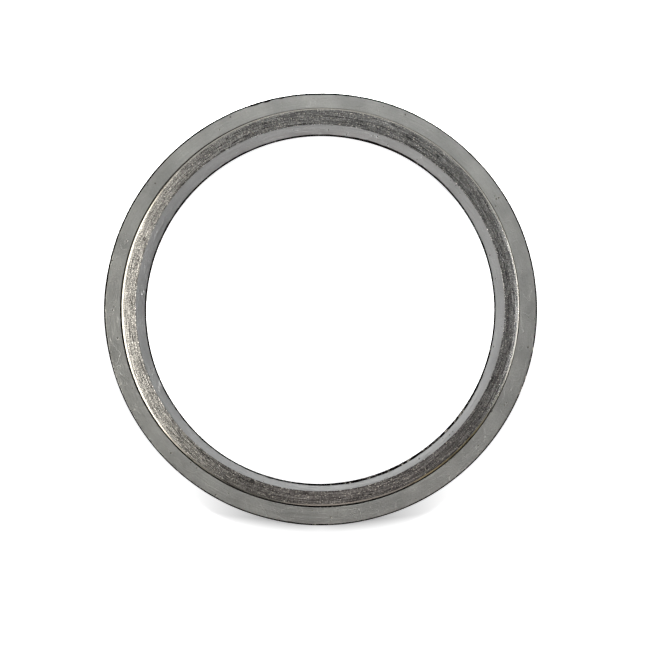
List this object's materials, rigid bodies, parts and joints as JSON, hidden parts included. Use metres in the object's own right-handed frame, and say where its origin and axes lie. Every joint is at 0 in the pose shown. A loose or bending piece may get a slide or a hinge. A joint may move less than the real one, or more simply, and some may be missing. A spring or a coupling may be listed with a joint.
{
  "type": "spiral wound gasket",
  "caption": "Flat round flange gasket: a spiral winding of V-section steel strip and graphite filler, held between a plain inner ring and an outer centring ring.",
  "frame": {"origin": "centre of the gasket, on its axis at half its thickness", "axes": "+Z along the gasket's axis, up as it lies flat; +X and +Y lie in its plane, with the ends of the filler on the -X side"},
  "size_m": [0.329, 0.329, 0.0044],
  "materials": {
    "outer_ring": "satin rolled steel with a faint circular grain",
    "winding": "bright strip edges with dark graphite between them",
    "inner_ring": "smooth satin steel"
  },
  "bodies": {
    "root": {"outer_ring": "outer_ring", "winding": "winding", "inner_ring": "inner_ring"}
  },
  "joints": []
}
